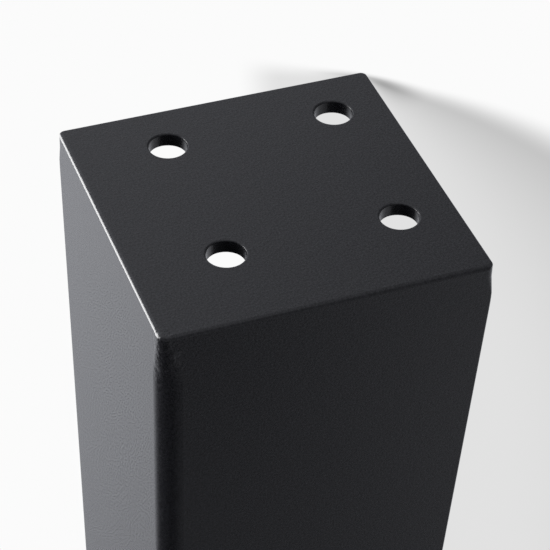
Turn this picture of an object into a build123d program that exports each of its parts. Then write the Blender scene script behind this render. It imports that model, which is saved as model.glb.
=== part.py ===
"""Tapered table leg: a folded sheet-steel angle with a drilled square plate welded on its top end.

The frame has its origin in the middle of the hole pattern, on the upper face of the plate, which
lies against the underside of a table. +Z points up into the table. The two flanges hang down from
the plate along its -X and -Y sides, and the fold between them is the outer corner of the table.
All lengths are in millimetres.
"""
from build123d import *

import os
from math import atan2, tan

# Top plate
plate_side = 75.0
plate_thickness = 3.5
fold_corner_radius = 2.5
free_corner_radius = 1.5
ground_edge_round = 1.0
free_edge_round = 0.4

# Fixing holes, drilled on a square
hole_pitch = 40.0
hole_diameter = 8.8
hole_edge_distance = 13.0
hole_rim_round = 0.4
hole_rim_chamfer = 0.3

# Folded angle
leg_height = 710.0
sheet_thickness = 3.5
bend_inner_radius = 1.5
foot_width = 25.0
upright_height = 9.5
taper_blend_radius = 50.0
cut_edge_round = 0.4

# Ground transition between the tighter corner of the plate and the rounder fold
fold_blend_height = 9.0

# Weld inside the angle, under the plate
weld_leg = 3.5
weld_crown = 0.4
weld_penetration = 1.0
weld_set_back = 9.0

# Places that follow from the sizes above
free_edge = hole_pitch / 2 + hole_edge_distance
outer_face = free_edge - plate_side
inner_face = outer_face + sheet_thickness
plate_underside = -plate_thickness
foot_end = -leg_height
bend_outer_radius = sheet_thickness + bend_inner_radius
taper_angle = atan2(plate_side - foot_width, leg_height - upright_height)
blend_start = -upright_height + taper_blend_radius * tan(taper_angle / 2)


def at_outer_corner(height):
    """The place of the sharp outer corner of the fold at a height."""
    return Pos(outer_face, outer_face, height)


def square_from_fold(side):
    """A square that starts at the outer corner of the fold, with that corner ground to its radius."""
    square = Rectangle(side, side, align=(Align.MIN, Align.MIN))
    return fillet(square.vertices().sort_by_distance((0, 0))[0], fold_corner_radius)


def plate_blank():
    """The cut plate, with square upper and lower edges."""
    outline = square_from_fold(plate_side)
    for corner in ((plate_side, 0), (plate_side, plate_side), (0, plate_side)):
        outline = fillet(outline.vertices().sort_by_distance(corner)[0], free_corner_radius)
    return extrude(at_outer_corner(plate_underside) * outline, amount=plate_thickness)


def lower_edge_trim(blank):
    """What breaking the lower edge takes off the two free sides, clear of the flanges."""
    lower_edges = blank.edges().group_by(Axis.Z)[0]
    free_corner = Pos(inner_face, inner_face, plate_underside)
    free_region = free_corner * Box(
        plate_side, plate_side, plate_thickness / 2, align=(Align.MIN, Align.MIN, Align.MIN)
    )
    return (blank - fillet(lower_edges, free_edge_round)) & free_region


def ground_envelope():
    """The space under the rounder edge that is ground along both flanges, straight off past the plate."""
    outline = at_outer_corner(2 * plate_underside) * square_from_fold(2 * plate_side)
    block = extrude(outline, amount=2 * plate_thickness)
    return fillet(block.edges().group_by(Axis.Z)[-1], ground_edge_round)


def hole_rims(plate):
    """The circles at which the walls of the holes begin and end."""
    circles = plate.edges().filter_by(GeomType.CIRCLE)
    return circles.filter_by(lambda circle: abs(circle.radius - hole_diameter / 2) < hole_rim_round / 2)


def top_plate():
    """The square plate with its rounded upper edges and four drilled holes."""
    blank = plate_blank()
    trimmed = blank - lower_edge_trim(blank)
    plate = fillet(trimmed.edges().group_by(Axis.Z)[-1], free_edge_round) & ground_envelope()
    drill = Cylinder(hole_diameter / 2, 2 * plate_thickness)
    for hole in GridLocations(hole_pitch, hole_pitch, 2, 2):
        plate -= Pos(0, 0, plate_underside / 2) * hole * drill
    plate = chamfer(hole_rims(plate).group_by(Axis.Z)[0], hole_rim_chamfer)
    return fillet(hole_rims(plate).group_by(Axis.Z)[-1], hole_rim_round)


def flange_section(outer_edge_round):
    """The folded sheet cut across: two equal legs round one bend."""
    outside = Rectangle(plate_side, plate_side, align=(Align.MIN, Align.MIN))
    hollow = Pos(sheet_thickness, sheet_thickness) * outside
    section = outside - hollow
    corners = section.vertices()
    section = fillet(corners.sort_by_distance((0, 0))[0], bend_outer_radius)
    inner_corner = (sheet_thickness, sheet_thickness)
    section = fillet(section.vertices().sort_by_distance(inner_corner)[0], bend_inner_radius)
    if outer_edge_round:
        for tip in ((plate_side, 0), (0, plate_side)):
            section = fillet(section.vertices().sort_by_distance(tip)[0], outer_edge_round)
        for tip in ((plate_side, sheet_thickness), (sheet_thickness, plate_side)):
            section = fillet(section.vertices().sort_by_distance(tip)[0], cut_edge_round)
    return section


def upright_band():
    """The straight top of the angle, where the ends of the flanges are ground to meet the plate."""
    top = at_outer_corner(plate_underside) * flange_section(free_corner_radius)
    bottom = at_outer_corner(blend_start) * flange_section(cut_edge_round)
    return loft([top, bottom], ruled=True)


def flange_outline():
    """The tapered side of the angle, drawn from the fold outwards and downwards."""
    corner = (plate_side, -upright_height)
    outline = Polyline(
        (0, plate_underside), (plate_side, plate_underside), corner, (foot_width, foot_end), (0, foot_end),
        close=True,
    )
    side = make_face(outline)
    return fillet(side.vertices().sort_by_distance(corner)[0], taper_blend_radius)


def tapered_length():
    """The angle below its upright band, with both free edges tapered and their corners broken."""
    length = blend_start - foot_end
    prism = at_outer_corner(foot_end) * extrude(flange_section(0), amount=length)
    outline = Pos(outer_face, 0) * flange_outline()
    tapered = prism
    for side in (Plane.XZ, Plane.YZ):
        tapered &= extrude(side * outline, amount=2 * plate_side, both=True)
    upper_rim = tapered.edges().group_by(Axis.Z)[-1]
    fold_rounds = tapered.edges().filter_by(Axis.Z).filter_by(
        lambda edge: max(edge.center().X, edge.center().Y) < outer_face + foot_width / 2
    )
    broken = [edge for edge in tapered.edges() if edge not in upper_rim and edge not in fold_rounds]
    return fillet(broken, cut_edge_round)


def fold_blend():
    """Weld metal ground from the tight corner of the plate into the rounder fold below it."""
    foot = at_outer_corner(plate_underside - fold_blend_height)
    head = at_outer_corner(plate_underside)
    block_side = bend_outer_radius + sheet_thickness
    block = Rectangle(block_side, block_side, align=(Align.MIN, Align.MIN))
    block_corner = block.vertices().sort_by_distance((0, 0))[0]
    faces = [head * fillet(block_corner, fold_corner_radius), foot * fillet(block_corner, bend_outer_radius)]
    hollow = Pos(inner_face, inner_face, plate_underside - fold_blend_height) * Box(
        plate_side, plate_side, fold_blend_height, align=(Align.MIN, Align.MIN, Align.MIN)
    )
    inner_edge = hollow.edges().filter_by(Axis.Z).sort_by_distance((inner_face, inner_face, 0))[0]
    return loft(faces, ruled=True) - fillet(inner_edge, bend_inner_radius)


def folded_angle():
    """The whole sheet, folded, tapered and finished."""
    return upright_band() + tapered_length() + fold_blend()


def weld_profile(root_depth):
    """A fillet of weld cut across, with its root in the flange and a rounded face in the corner."""
    against_plate = (weld_leg, 0)
    against_flange = (0, -weld_leg)
    bulge = weld_leg / 2 + weld_crown / 2**0.5
    root = [(-root_depth, -weld_leg), (-root_depth, 0)] if root_depth else [(0, 0)]
    legs = Polyline(against_flange, *root, against_plate)
    face = ThreePointArc(against_plate, (bulge, -bulge), against_flange)
    return make_face(legs + face)


def weld_run():
    """One weld along the flange on the -Y side, with a rounded stop short of its free end."""
    run_length = plate_side - sheet_thickness - weld_set_back
    across = Plane(origin=(0, 0, 0), x_dir=(0, 1, 0), z_dir=(1, 0, 0))
    start = Pos(-weld_penetration, 0, 0)
    run = start * extrude(across * weld_profile(weld_penetration), amount=run_length + weld_penetration)
    stop = Pos(run_length, 0, 0) * revolve(across * weld_profile(0), Axis.Z, -90)
    return Pos(inner_face, inner_face, plate_underside) * (run + stop)


def inner_weld(angle):
    """The weld on both flanges, seated on the sheet and mitred in the fold."""
    diagonal = Plane(origin=(0, 0, 0), x_dir=(1, 1, 0), z_dir=(1, -1, 0))
    half = split(weld_run() - angle, bisect_by=diagonal, keep=Keep.TOP)
    return half + mirror(half, about=diagonal)


def main():
    os.makedirs("parts", exist_ok=True)
    angle = folded_angle()
    export_step(top_plate(), "parts/top_plate.step")
    export_step(angle, "parts/folded_angle.step")
    export_step(inner_weld(angle), "parts/inner_weld.step")


main()
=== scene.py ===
from math import cos, pi, radians, sin

import bmesh
import bpy
from bpy.props import FloatProperty, FloatVectorProperty, PointerProperty
from mathutils import Matrix, Vector


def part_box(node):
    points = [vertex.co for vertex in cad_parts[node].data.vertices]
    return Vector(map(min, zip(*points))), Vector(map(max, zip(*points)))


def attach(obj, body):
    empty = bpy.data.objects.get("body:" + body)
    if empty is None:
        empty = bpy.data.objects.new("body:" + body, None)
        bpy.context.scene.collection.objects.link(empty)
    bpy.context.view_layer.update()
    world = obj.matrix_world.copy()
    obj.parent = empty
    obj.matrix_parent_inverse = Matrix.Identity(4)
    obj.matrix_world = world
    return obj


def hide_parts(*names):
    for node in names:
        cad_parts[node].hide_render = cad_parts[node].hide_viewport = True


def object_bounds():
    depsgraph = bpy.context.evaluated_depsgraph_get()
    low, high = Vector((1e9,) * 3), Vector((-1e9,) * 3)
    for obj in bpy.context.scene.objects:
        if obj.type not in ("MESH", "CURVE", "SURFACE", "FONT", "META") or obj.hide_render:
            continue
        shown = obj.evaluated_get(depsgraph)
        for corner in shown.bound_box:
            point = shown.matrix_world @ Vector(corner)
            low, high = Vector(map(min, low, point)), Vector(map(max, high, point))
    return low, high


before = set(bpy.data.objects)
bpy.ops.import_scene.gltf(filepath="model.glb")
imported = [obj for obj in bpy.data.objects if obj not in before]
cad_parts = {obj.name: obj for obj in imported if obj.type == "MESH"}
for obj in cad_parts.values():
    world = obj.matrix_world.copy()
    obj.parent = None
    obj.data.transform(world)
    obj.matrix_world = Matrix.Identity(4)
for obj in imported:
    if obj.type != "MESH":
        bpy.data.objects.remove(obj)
cad_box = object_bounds()

bl_info = {
    "name": "Tapered Table Leg",
    "version": (1, 0, 0),
    "blender": (4, 5, 0),
    "location": "3D View > Sidebar > Table Leg",
    "description": "Gives a folded steel table leg its powder coat, weld bead, studio and camera",
    "category": "Object",
}

MM = 0.001
RENDER_SIDE_PX = 550


def linear(hex_colour):
    """Turns an sRGB hex colour into linear red, green, blue and alpha."""
    channels = [int(hex_colour[i:i + 2], 16) / 255 for i in (1, 3, 5)]
    return [c / 12.92 if c <= 0.04045 else ((c + 0.055) / 1.055) ** 2.4 for c in channels] + [1.0]


def add(tree, kind, inputs=None, **settings):
    """Adds a node with its settings, and sets or links its inputs by name or number."""
    node = tree.nodes.new(kind)
    for name, value in settings.items():
        setattr(node, name, value)
    for key, value in (inputs or {}).items():
        if isinstance(value, bpy.types.NodeSocket):
            tree.links.new(value, node.inputs[key])
        else:
            node.inputs[key].default_value = value
    return node


def colour_property(name, description, hex_colour):
    """A colour setting, given as a hex colour."""
    return FloatVectorProperty(
        name=name, description=description, default=linear(hex_colour), size=4, subtype="COLOR",
        min=0.0, max=1.0,
    )


def length_property(name, description, default):
    """A length setting, in metres."""
    return FloatProperty(name=name, description=description, default=default, unit="LENGTH", precision=5)


def angle_property(name, description, degrees):
    """An angle setting, given in degrees."""
    return FloatProperty(name=name, description=description, default=radians(degrees), subtype="ANGLE")


plate_low, plate_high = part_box("top_plate")
weld_low, weld_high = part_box("inner_weld")


class CoatSettings(bpy.types.PropertyGroup):
    colour: colour_property("Colour", "The black of the powder coat", "#18181B")
    pale_grain: colour_property("Pale Grain", "The slightly paler tips of its fine grain", "#242428")
    roughness: FloatProperty(
        name="Roughness", description="How far the coat spreads a highlight", default=0.27, subtype="FACTOR"
    )
    sheen_swing: FloatProperty(
        name="Sheen Swing", description="How much the strength of a reflection changes over the grain",
        default=0.07,
    )
    roughness_swing: FloatProperty(
        name="Roughness Swing", description="How much the roughness changes over the grain", default=0.05
    )
    grain_size: length_property("Grain Size", "Width of one grain of the fine texture", 0.5 * MM)
    grain_depth: length_property("Grain Depth", "Depth of the fine texture", 0.032 * MM)
    peel_size: length_property("Flow Size", "Width of the soft waves left as the powder melts", 3.0 * MM)
    peel_depth: length_property("Flow Depth", "Depth of the soft waves", 0.020 * MM)
    ground_size: length_property(
        "Ground Size", "Width of one flat left where the joint is ground by hand", 1.6 * MM
    )
    ground_depth: length_property("Ground Depth", "Unevenness of the ground joint", 0.4 * MM)


class BeadSettings(bpy.types.PropertyGroup):
    run_length: length_property("Run Length", "Each weld, from the fold to its end", weld_high.x - weld_low.x)
    leg: length_property("Leg", "How far the weld reaches along plate and flange", weld_high.z - weld_low.z)
    crown: length_property("Crown", "How far its face stands out in the middle", 0.4 * MM)
    ripple_pitch: length_property("Ripple Pitch", "Distance from one ripple to the next", 1.5 * MM)
    ripple_height: length_property("Ripple Height", "Height of a ripple", 0.22 * MM)
    ripple_bow: FloatProperty(
        name="Ripple Bow", description="How far a ripple runs ahead in its middle, in pitches", default=0.8
    )


class StudioSettings(bpy.types.PropertyGroup):
    view_azimuth: angle_property("Azimuth", "How far the view turns to the right of straight ahead", 21.22)
    view_elevation: angle_property("Elevation", "How far the view looks down", 40.37)
    view_roll: angle_property("Roll", "How far the camera leans", 1.72)
    view_distance: length_property("Distance", "From the camera to the plate", 507.2 * MM)
    aim_right: length_property(
        "Aim Right", "Middle of the view, to the right of the plate's centre", 1.2 * MM
    )
    aim_down: length_property("Aim Down", "Middle of the view, below the plate's centre", 17.3 * MM)
    focal_px: FloatProperty(name="Focal Length", description="In pixels of the picture", default=2307.2)
    floor_colour: colour_property("Floor", "Pale paper under and behind the leg", "#FBFBFB")
    glow_colour: colour_property("Glow", "The cool white that the coat reflects", "#F2F4FB")
    floor_half_side: length_property("Floor Half Side", "Half the width of the paper", 9.0)


def vector_math(tree, operation, *values):
    """The results of a sum on vectors."""
    return add(tree, "ShaderNodeVectorMath", dict(enumerate(values)), operation=operation).outputs


def calc(tree, operation, *values):
    """The result of a sum on sockets and numbers."""
    return add(tree, "ShaderNodeMath", dict(enumerate(values)), operation=operation).outputs[0]


def ramp(tree, value, low, high, at_low, at_high, kind="LINEAR"):
    """A value that goes from one end to the other as another value goes from low to high."""
    return add(tree, "ShaderNodeMapRange", {
        "Value": value, "From Min": low, "From Max": high, "To Min": at_low, "To Max": at_high,
    }, interpolation_type=kind).outputs[0]


def noise(tree, place, size, detail, roughness):
    """A noise with cells of about this size."""
    return add(tree, "ShaderNodeTexNoise", {
        "Vector": place, "Scale": 1 / size, "Detail": detail, "Roughness": roughness,
    }).outputs[0]


def mix(tree, share, first, second):
    """Two shaders mixed, by the share of the second."""
    return add(tree, "ShaderNodeMixShader", {0: share, 1: first.outputs[0], 2: second.outputs[0]})


def empty_tree(owner):
    """The nodes of a new material or world, with none in them yet."""
    owner.use_nodes = True
    owner.node_tree.nodes.clear()
    return owner.node_tree


def coat_material(coat):
    """Black fine-texture polyester powder coat, sprayed dry on steel and baked.

    The melted grains leave a fine even tooth with soft waves under it, so a light spreads into a satin sheen
    that brightens to grey where the surface is seen at a low angle. The grain is drawn a little coarser than
    the real one, because a real grain is under a pixel wide.
    """
    material = bpy.data.materials.new("black_powder_coat")
    tree = empty_tree(material)
    place = add(tree, "ShaderNodeTexCoord").outputs["Object"]
    grain = noise(tree, place, coat.grain_size, 3.0, 0.6)
    peel = noise(tree, place, coat.peel_size, 1.0, 0.4)
    flats = noise(tree, place, coat.ground_size, 2.0, 0.5)
    colour = add(tree, "ShaderNodeMixRGB", {
        "Fac": ramp(tree, grain, 0.4, 0.7, 0.0, 1.0),
        "Color1": coat.colour[:], "Color2": coat.pale_grain[:],
    })
    smoothest, roughest = coat.roughness - coat.roughness_swing, coat.roughness + coat.roughness_swing
    usual_sheen = 0.5
    dullest, shiniest = usual_sheen - coat.sheen_swing, usual_sheen + coat.sheen_swing
    # The hand-ground joint: a long oval over the top of the fold, which fades out below and to the sides
    joint = plate_low - Vector((0, 0, 4 * MM))
    oval = (2.2, 2.2, 0.9)
    fade_start, fade_end = 6 * MM, 13 * MM
    from_joint = vector_math(tree, "SUBTRACT", place, joint[:])["Vector"]
    from_joint = vector_math(tree, "MULTIPLY", from_joint, oval)["Vector"]
    from_joint = vector_math(tree, "LENGTH", from_joint)["Value"]
    ground = add(tree, "ShaderNodeBump", {
        "Height": flats, "Distance": coat.ground_depth,
        "Strength": ramp(tree, from_joint, fade_start, fade_end, 1.0, 0.0, "SMOOTHSTEP"),
    })
    waves = add(tree, "ShaderNodeBump", {
        "Height": peel, "Distance": coat.peel_depth, "Normal": ground.outputs[0],
    })
    tooth = add(tree, "ShaderNodeBump", {
        "Height": grain, "Distance": coat.grain_depth, "Normal": waves.outputs[0],
    })
    surface = add(tree, "ShaderNodeBsdfPrincipled", {
        "Base Color": colour.outputs[0],
        "Roughness": ramp(tree, grain, 0.3, 0.7, smoothest, roughest),
        "Normal": tooth.outputs[0],
        "Specular IOR Level": ramp(tree, grain, 0.35, 0.65, dullest, shiniest),
        "IOR": 1.5,
    })
    add(tree, "ShaderNodeOutputMaterial", {"Surface": surface.outputs[0]})
    return material


def powder_coat():
    """The one coat that all pieces of the leg share."""
    return bpy.data.materials.get("black_powder_coat") or coat_material(bpy.context.scene.leg_coat)


def bead_tree(material):
    """A weld bead in the corner under the plate: a swept triangle with a crowned, rippled face.

    Two runs leave the fold, one along each flange. They meet there in a mitre and shrink to nothing at
    their far ends.
    """
    tree = bpy.data.node_groups.new("weld_bead", "GeometryNodeTree")
    for name in ("Run Length", "Leg", "Crown", "Ripple Pitch", "Ripple Height", "Ripple Bow"):
        tree.interface.new_socket(name=name, in_out="INPUT", socket_type="NodeSocketFloat")
    tree.interface.new_socket(name="Corner", in_out="INPUT", socket_type="NodeSocketVector")
    tree.interface.new_socket(name="Bead", in_out="OUTPUT", socket_type="NodeSocketGeometry")
    given = add(tree, "NodeGroupInput").outputs
    steps_per_ripple, cuts_per_side, weld_gap = 8, 5, 0.002 * MM
    ripples = calc(tree, "DIVIDE", given["Run Length"], given["Ripple Pitch"])
    count = calc(tree, "MULTIPLY", ripples, steps_per_ripple)
    path = add(tree, "GeometryNodeCurvePrimitiveLine", {"Start": (0, 0, 0), "End": (0, 0, 1)})
    path = add(tree, "GeometryNodeResampleCurve", {"Curve": path.outputs[0], "Count": count})
    corner = add(tree, "GeometryNodeCurvePrimitiveQuadrilateral", {
        "Point 1": (0, 0, 0), "Point 2": (1, 0, 0), "Point 3": (0.5, 0.5, 0), "Point 4": (0, 1, 0),
    }, mode="POINTS")
    corner = add(tree, "GeometryNodeSubdivideCurve", {"Curve": corner.outputs[0], "Cuts": cuts_per_side})
    sweep = add(tree, "GeometryNodeCurveToMesh", {
        "Curve": path.outputs[0], "Profile Curve": corner.outputs[0],
    })
    place = add(tree, "GeometryNodeInputPosition").outputs[0]
    place = add(tree, "ShaderNodeSeparateXYZ", {0: place}).outputs
    across_plate, across_flange, along = place["X"], place["Y"], place["Z"]
    travel = calc(tree, "MULTIPLY", along, given["Run Length"])
    # One in the middle of the bead's face, and nothing at its edges and at its root
    face = calc(tree, "MULTIPLY", calc(tree, "MULTIPLY", across_plate, across_flange), 4.0)
    phase = calc(tree, "DIVIDE", travel, given["Ripple Pitch"])
    phase = calc(tree, "SUBTRACT", phase, calc(tree, "MULTIPLY", face, given["Ripple Bow"]))
    phase = calc(tree, "FRACT", phase)
    dip = calc(tree, "POWER", calc(tree, "SUBTRACT", calc(tree, "MULTIPLY", phase, 2.0), 1.0), 2.0)
    ripple = calc(tree, "MULTIPLY", calc(tree, "SUBTRACT", 1.0, dip), given["Ripple Height"])
    diagonal_share = 0.7071
    rise = calc(tree, "MULTIPLY", calc(tree, "ADD", given["Crown"], ripple), diagonal_share)
    rise = calc(tree, "MULTIPLY", rise, face)
    past = calc(tree, "SUBTRACT", travel, calc(tree, "SUBTRACT", given["Run Length"], given["Leg"]))
    past = calc(tree, "MAXIMUM", calc(tree, "DIVIDE", past, given["Leg"]), 0.0)
    shrink = calc(tree, "SQRT", calc(tree, "SUBTRACT", 1.0, calc(tree, "MULTIPLY", past, past)))
    reach = calc(tree, "ADD", calc(tree, "MULTIPLY", across_plate, given["Leg"]), rise)
    reach = calc(tree, "MULTIPLY", reach, shrink)
    depth = calc(tree, "ADD", calc(tree, "MULTIPLY", across_flange, given["Leg"]), rise)
    drop = calc(tree, "MULTIPLY", calc(tree, "MULTIPLY", depth, shrink), -1.0)
    mitre = calc(tree, "MULTIPLY", reach, calc(tree, "SUBTRACT", 1.0, along))
    forward = calc(tree, "ADD", travel, mitre)
    runs = add(tree, "GeometryNodeJoinGeometry")
    for x, y in ((forward, reach), (reach, forward)):
        seat = add(tree, "ShaderNodeCombineXYZ", {"X": x, "Y": y, "Z": drop}).outputs[0]
        run = add(tree, "GeometryNodeSetPosition", {
            "Geometry": sweep.outputs[0],
            "Position": vector_math(tree, "ADD", seat, given["Corner"])["Vector"],
        })
        tree.links.new(run.outputs[0], runs.inputs[0])
    whole = add(tree, "GeometryNodeMergeByDistance", {"Geometry": runs.outputs[0], "Distance": weld_gap})
    smooth = add(tree, "GeometryNodeSetShadeSmooth", {"Geometry": whole.outputs[0]})
    real = add(tree, "GeometryNodeRealizeInstances", {"Geometry": smooth.outputs[0]})
    coated = add(tree, "GeometryNodeSetMaterial", {"Geometry": real.outputs[0], "Material": material})
    add(tree, "NodeGroupOutput", {0: coated.outputs[0]})
    return tree


def plain_mesh(name, tree, values):
    """Runs a geometry tree with these inputs and keeps its result as a mesh object."""
    holder = bpy.data.objects.new(name + "_holder", bpy.data.meshes.new(name + "_holder"))
    bpy.context.scene.collection.objects.link(holder)
    modifier = holder.modifiers.new("tree", "NODES")
    modifier.node_group = tree
    for item in tree.interface.items_tree:
        if item.in_out == "INPUT":
            modifier[item.identifier] = values[item.name]
    evaluated = holder.evaluated_get(bpy.context.evaluated_depsgraph_get())
    mesh = bpy.data.meshes.new_from_object(evaluated)
    holder.modifiers.remove(modifier)
    bpy.data.objects.remove(holder)
    shell = bmesh.new()
    shell.from_mesh(mesh)
    bmesh.ops.recalc_face_normals(shell, faces=shell.faces)
    shell.to_mesh(mesh)
    shell.free()
    piece = bpy.data.objects.new(name, mesh)
    bpy.context.scene.collection.objects.link(piece)
    return piece


class LEG_OT_powder_coat(bpy.types.Operator):
    """Coat the folded angle and its top plate"""
    bl_idname = "table_leg.powder_coat"
    bl_label = "Powder Coat"

    def execute(self, context):
        for name in ("top_plate", "folded_angle"):
            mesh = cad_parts[name].data
            mesh.materials.clear()
            mesh.materials.append(powder_coat())
        return {"FINISHED"}


class LEG_OT_weld_bead(bpy.types.Operator):
    """Lay the rippled weld bead under the plate"""
    bl_idname = "table_leg.weld_bead"
    bl_label = "Weld Bead"

    def execute(self, context):
        bead = context.scene.leg_bead
        piece = plain_mesh("weld_bead", bead_tree(powder_coat()), {
            "Run Length": bead.run_length,
            "Leg": bead.leg,
            "Crown": bead.crown,
            "Ripple Pitch": bead.ripple_pitch,
            "Ripple Height": bead.ripple_height,
            "Ripple Bow": bead.ripple_bow,
            "Corner": (weld_low.x, weld_low.y, weld_high.z),
        })
        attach(piece, "root")
        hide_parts("inner_weld")
        return {"FINISHED"}


def painted_paper_shadow(tree, place):
    """How bright the paper looks to the camera: white, but for a painted soft round shadow behind the leg.

    The painted shadow is dark along its rim, and it is darkest and sharpest at one spot of the rim,
    which shows right behind the plate's back corner. Towards the left it ends in the open.
    """
    floor_level = cad_box[0].z
    middle, radius = (0.2165, 0.6441, floor_level), 0.3689
    spot, spot_radius = (0.4378, 0.9413, floor_level), 0.0518
    rightward = (0.959, -0.283, 0)
    left_end, shade_full = 0.05, 0.0857
    even_loss, full_rim_loss, spot_loss = 0.2158, 0.2588, 0.461
    rim_start, rim_full = 0.0933, 0.163
    spot_swell, sharpest, softer_per_metre = 0.0042, 0.0061, 0.1093
    narrow_rim, wide_rim = 0.0035, 0.7869
    rim_widens, rim_widest = 0.153, 1.153
    to_the_right = vector_math(tree, "DOT_PRODUCT", place, rightward)["Value"]
    from_spot = vector_math(tree, "DISTANCE", place, spot)["Value"]
    near_spot = ramp(tree, from_spot, 0.0, spot_radius, 1.0, 0.0, "SMOOTHSTEP")
    depth = calc(tree, "SUBTRACT", radius, vector_math(tree, "DISTANCE", place, middle)["Value"])
    depth = calc(tree, "MULTIPLY_ADD", near_spot, spot_swell, depth)
    softness = calc(tree, "MULTIPLY_ADD", from_spot, softer_per_metre, sharpest)
    inside = ramp(tree, calc(tree, "DIVIDE", depth, softness), -1.0, 1.0, 0.0, 1.0, "SMOOTHSTEP")
    past_left_end = ramp(tree, to_the_right, left_end, shade_full, 0.0, 1.0, "SMOOTHSTEP")
    rim_loss = ramp(tree, to_the_right, rim_start, rim_full, 0.0, full_rim_loss)
    rim_loss = calc(tree, "MULTIPLY_ADD", near_spot, spot_loss, rim_loss)
    rim_width = ramp(tree, to_the_right, rim_widens, rim_widest, narrow_rim, wide_rim)
    fade = calc(tree, "DIVIDE", calc(tree, "MAXIMUM", depth, 0.0), rim_width)
    fade = calc(tree, "EXPONENT", calc(tree, "MULTIPLY", fade, -1.0))
    loss = calc(tree, "MULTIPLY_ADD", fade, rim_loss, even_loss)
    loss = calc(tree, "MULTIPLY", loss, calc(tree, "MULTIPLY", inside, past_left_end))
    return calc(tree, "SUBTRACT", 1.0, loss)


def paper_material(studio):
    """White paper with a painted contact shade under the foot, clear to a camera that looks from below.

    To the camera it also carries a painted shadow behind the leg. In the reflections it glows as a painted
    reflection: bright at the back and darker at the right and the front, with one painted black patch lying
    at the front left.
    """
    material = bpy.data.materials.new("white_paper")
    tree = empty_tree(material)
    rays = add(tree, "ShaderNodeLightPath").outputs
    place = add(tree, "ShaderNodeTexCoord").outputs["Object"]
    # Painted reflection: for mirror rays the paper glows, bright at the back and darker at the right and the
    # front, with a painted black patch at the front left in place of a screen.
    painted_dark_patch, dark_patch_radius, dark_patch_end = (-0.80, -0.25, cad_box[0].z), 0.45, 1.07
    paper_again, full_paper = 1.3, 1.8
    painted_shade_reach = 0.12
    black, front, right, back, far_away = 0.02, 0.245, 0.325, 0.68, 0.36
    from_dark_patch = vector_math(tree, "DISTANCE", place, painted_dark_patch)["Value"]
    past_dark_patch = ramp(tree, from_dark_patch, dark_patch_radius, dark_patch_end, black, 1.0, "SMOOTHSTEP")
    across = add(tree, "ShaderNodeSeparateXYZ", {0: place}).outputs
    from_the_front = ramp(tree, across["Y"], -0.86, -0.76, black, front)
    to_the_right = ramp(tree, across["X"], 0.24, 0.42, 0.0, right, "SMOOTHSTEP")
    to_the_back = ramp(tree, across["Y"], -0.4, 0.9, 0.0, back)
    painted_reflection_strength = calc(tree, "ADD", calc(tree, "ADD", from_the_front, to_the_right), to_the_back)
    painted_reflection_strength = calc(tree, "MULTIPLY", past_dark_patch, painted_reflection_strength)
    painted_reflection_strength = calc(tree, "MAXIMUM", painted_reflection_strength, ramp(tree, from_dark_patch, paper_again, full_paper, 0.0, far_away))
    mirror = calc(tree, "MAXIMUM", rays["Is Glossy Ray"], rays["Is Transmission Ray"])
    paper = add(tree, "ShaderNodeBsdfDiffuse", {"Color": studio.floor_colour[:]})
    # Painted shade on the white that the camera sees: an ambient-occlusion contact shade under the foot and
    # the painted shadow behind the leg darken the emission.
    painted_contact_shade = add(tree, "ShaderNodeAmbientOcclusion", {"Distance": painted_shade_reach}, samples=8)
    painted_shade_brightness = calc(tree, "MULTIPLY", painted_paper_shadow(tree, place), painted_contact_shade.outputs["AO"])
    white = add(tree, "ShaderNodeEmission", {"Color": studio.floor_colour[:], "Strength": painted_shade_brightness})
    painted_reflection = add(tree, "ShaderNodeEmission", {"Color": studio.glow_colour[:], "Strength": painted_reflection_strength})
    surface = mix(tree, rays["Is Camera Ray"], paper, white)
    surface = mix(tree, mirror, surface, painted_reflection)
    underside = add(tree, "ShaderNodeNewGeometry").outputs["Backfacing"]
    from_below = calc(tree, "MULTIPLY", underside, rays["Is Camera Ray"])
    surface = mix(tree, from_below, surface, add(tree, "ShaderNodeBsdfTransparent"))
    add(tree, "ShaderNodeOutputMaterial", {"Surface": surface.outputs[0]})
    return material


def lay_floor(studio):
    """A wide sheet of paper under the foot."""
    level = cad_box[0].z
    side = studio.floor_half_side
    corners = [(-side, -side, level), (side, -side, level), (side, side, level), (-side, side, level)]
    mesh = bpy.data.meshes.new("floor")
    mesh.from_pydata(corners, [], [(0, 1, 2, 3)])
    mesh.materials.append(paper_material(studio))
    floor = bpy.data.objects.new("floor", mesh)
    bpy.context.scene.collection.objects.link(floor)


def hang_softbox(name, toward, distance, width, height, radiance):
    """A rectangular lamp that faces the plate from a direction, as bright as the given radiance."""
    lamp = bpy.data.lights.new(name, "AREA")
    lamp.shape = "RECTANGLE"
    lamp.size = width
    lamp.size_y = height
    lamp.energy = radiance * pi * width * height
    box = bpy.data.objects.new(name, lamp)
    direction = Vector(toward).normalized()
    box.location = direction * distance
    box.rotation_euler = direction.to_track_quat("Z", "Y").to_euler()
    box.visible_camera = False
    bpy.context.scene.collection.objects.link(box)


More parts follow.
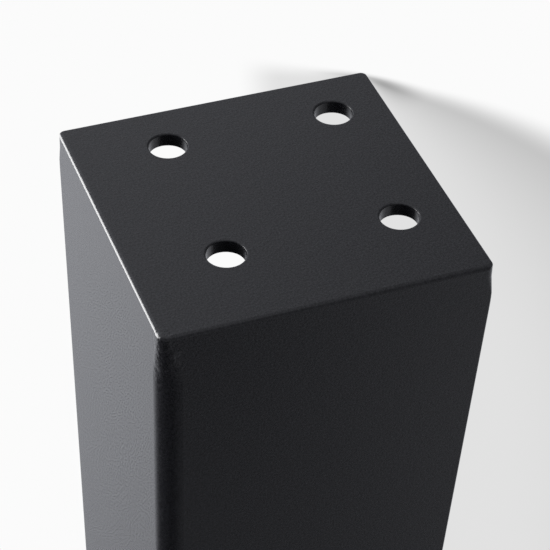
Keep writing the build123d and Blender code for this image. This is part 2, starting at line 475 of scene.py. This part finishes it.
def surround(studio):
    """Soft light from all round, brightest at the back left, under a pale ceiling; the camera sees white."""
    world = bpy.data.worlds.new("studio")
    bpy.context.scene.world = world
    tree = empty_tree(world)
    rays = add(tree, "ShaderNodeLightPath").outputs
    toward = add(tree, "ShaderNodeTexCoord").outputs["Generated"]
    brightest = Vector((-0.5, 0.85, 0.0)).normalized()
    nearness = vector_math(tree, "DOT_PRODUCT", toward, brightest[:])["Value"]
    across = add(tree, "ShaderNodeSeparateXYZ", {0: toward}).outputs
    ceiling_left, ceiling_right = 0.45, 0.06
    front, back = 0.28, 0.91
    overhead = ramp(tree, across["Z"], 0.71, 0.80, 0.0, 1.0)
    ceiling = ramp(tree, across["X"], 0.25, 0.33, ceiling_left, ceiling_right)
    ceiling = calc(tree, "MULTIPLY", overhead, ceiling)
    strength = calc(tree, "ADD", ceiling, ramp(tree, nearness, 0.39, 0.61, front, back))
    lit = add(tree, "ShaderNodeBackground", {"Color": studio.glow_colour[:], "Strength": strength})
    white = add(tree, "ShaderNodeBackground", {"Color": studio.floor_colour[:]})
    sky = mix(tree, rays["Is Camera Ray"], lit, white)
    add(tree, "ShaderNodeOutputWorld", {"Surface": sky.outputs[0]})


def set_camera(studio):
    """A long lens above the front of the plate, leaning slightly."""
    azimuth, elevation = studio.view_azimuth, studio.view_elevation
    ahead = Vector((sin(azimuth) * cos(elevation), cos(azimuth) * cos(elevation), -sin(elevation)))
    level_right = ahead.cross(Vector((0, 0, 1))).normalized()
    level_down = ahead.cross(level_right)
    lean = studio.view_roll
    right = level_right * cos(lean) - level_down * sin(lean)
    down = level_right * sin(lean) + level_down * cos(lean)
    centre = (plate_low + plate_high) / 2
    centre.z = plate_high.z
    aim = centre + right * studio.aim_right + down * studio.aim_down
    data = bpy.data.cameras.new("camera")
    data.lens = studio.focal_px * data.sensor_width / RENDER_SIDE_PX
    data.clip_start = 0.01
    camera = bpy.data.objects.new("camera", data)
    camera.location = aim - ahead * studio.view_distance
    camera.rotation_euler = Matrix((right, -down, -ahead)).transposed().to_euler()
    bpy.context.scene.collection.objects.link(camera)
    bpy.context.scene.camera = camera


class LEG_OT_studio(bpy.types.Operator):
    """Set up the paper floor, the lamp, the surround and the camera"""
    bl_idname = "table_leg.studio"
    bl_label = "Studio"

    def execute(self, context):
        studio = context.scene.leg_studio
        set_camera(studio)
        lay_floor(studio)
        surround(studio)
        hang_softbox(
            "back_softbox", toward=(-0.80, 0.60, -0.07), distance=1.2, width=0.8, height=0.75, radiance=11.5
        )
        context.scene.view_settings.view_transform = "Standard"
        return {"FINISHED"}


class LEG_PT_panel(bpy.types.Panel):
    """Sizes and colours of the leg, and the buttons that finish it"""
    bl_idname = "LEG_PT_panel"
    bl_label = "Table Leg"
    bl_space_type = "VIEW_3D"
    bl_region_type = "UI"
    bl_category = "Table Leg"

    def draw(self, context):
        scene = context.scene
        for title, settings, operator in (
            ("Powder Coat", scene.leg_coat, LEG_OT_powder_coat),
            ("Weld Bead", scene.leg_bead, LEG_OT_weld_bead),
            ("Studio", scene.leg_studio, LEG_OT_studio),
        ):
            section = self.layout.box()
            section.label(text=title)
            for name in settings.__annotations__:
                section.prop(settings, name)
            section.operator(operator.bl_idname)


classes = (
    CoatSettings, BeadSettings, StudioSettings,
    LEG_OT_powder_coat, LEG_OT_weld_bead, LEG_OT_studio, LEG_PT_panel,
)


def register():
    for cls in classes:
        bpy.utils.register_class(cls)
    bpy.types.Scene.leg_coat = PointerProperty(type=CoatSettings)
    bpy.types.Scene.leg_bead = PointerProperty(type=BeadSettings)
    bpy.types.Scene.leg_studio = PointerProperty(type=StudioSettings)


def unregister():
    del bpy.types.Scene.leg_studio
    del bpy.types.Scene.leg_bead
    del bpy.types.Scene.leg_coat
    for cls in reversed(classes):
        bpy.utils.unregister_class(cls)


def main():
    register()
    bpy.ops.table_leg.studio()
    bpy.ops.table_leg.powder_coat()
    bpy.ops.table_leg.weld_bead()


if __name__ == "__main__":
    main()
